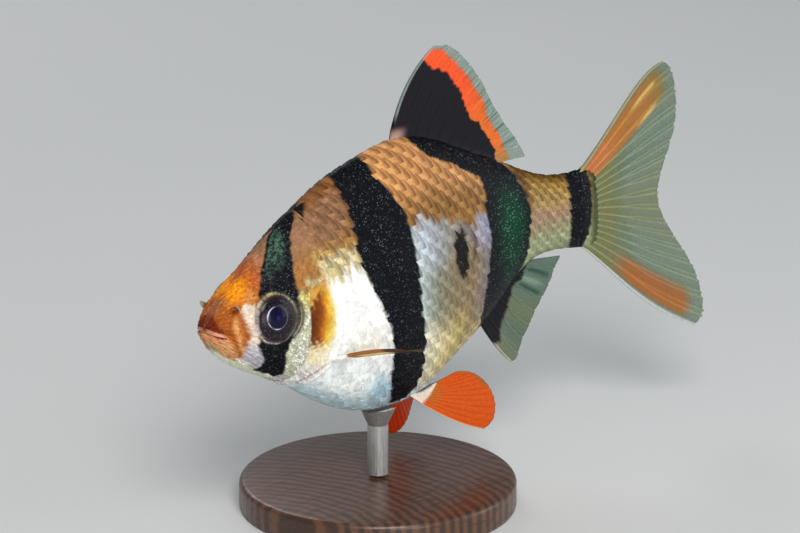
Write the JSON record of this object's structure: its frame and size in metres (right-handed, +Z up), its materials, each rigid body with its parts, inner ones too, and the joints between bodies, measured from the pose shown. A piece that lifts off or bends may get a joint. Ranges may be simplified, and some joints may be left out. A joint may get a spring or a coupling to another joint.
{
  "type": "banded aquarium barb on a display stand",
  "caption": "Life-size still model of a small deep-bodied barb with dark upright bands and a forked tail, held over a round base by a short rod.",
  "frame": {"origin": "centre of the underside of the stand's base, on the surface it stands on", "axes": "+X from the fish's head towards its tail, +Y to the fish's right side, +Z up"},
  "size_m": [0.0578, 0.024, 0.0396],
  "materials": {
    "head_skin": "wet, orange over silver",
    "gill_plate": "wet, rust orange with a pale yellow rim",
    "eye": "polished, near black",
    "scaled_flank": "pearly scales, black bands",
    "scaled_tail": "pearly scales, black band",
    "dorsal_fin": "black with an orange-red edge and a clear margin",
    "anal_fin": "clear grey-green, black at its front",
    "caudal_fin": "clear grey-green with orange-brown edges",
    "pelvic_fin": "bright orange, a little translucent",
    "pectoral_fin": "clear, faintly brown",
    "stand_base": "dark, satin",
    "stand_rod": "satin"
  },
  "bodies": {
    "root": {"head": "head_skin", "gill_cover_left": "gill_plate", "gill_cover_right": "gill_plate", "eye_left": "eye", "eye_right": "eye", "torso": "scaled_flank", "tail_stalk": "scaled_tail", "dorsal_fin": "dorsal_fin", "anal_fin": "anal_fin", "caudal_fin": "caudal_fin", "pelvic_fin_left": "pelvic_fin", "pelvic_fin_right": "pelvic_fin", "pectoral_fin_left": "pectoral_fin", "pectoral_fin_right": "pectoral_fin", "stand_base": "stand_base", "stand_rod": "stand_rod"}
  },
  "joints": []
}
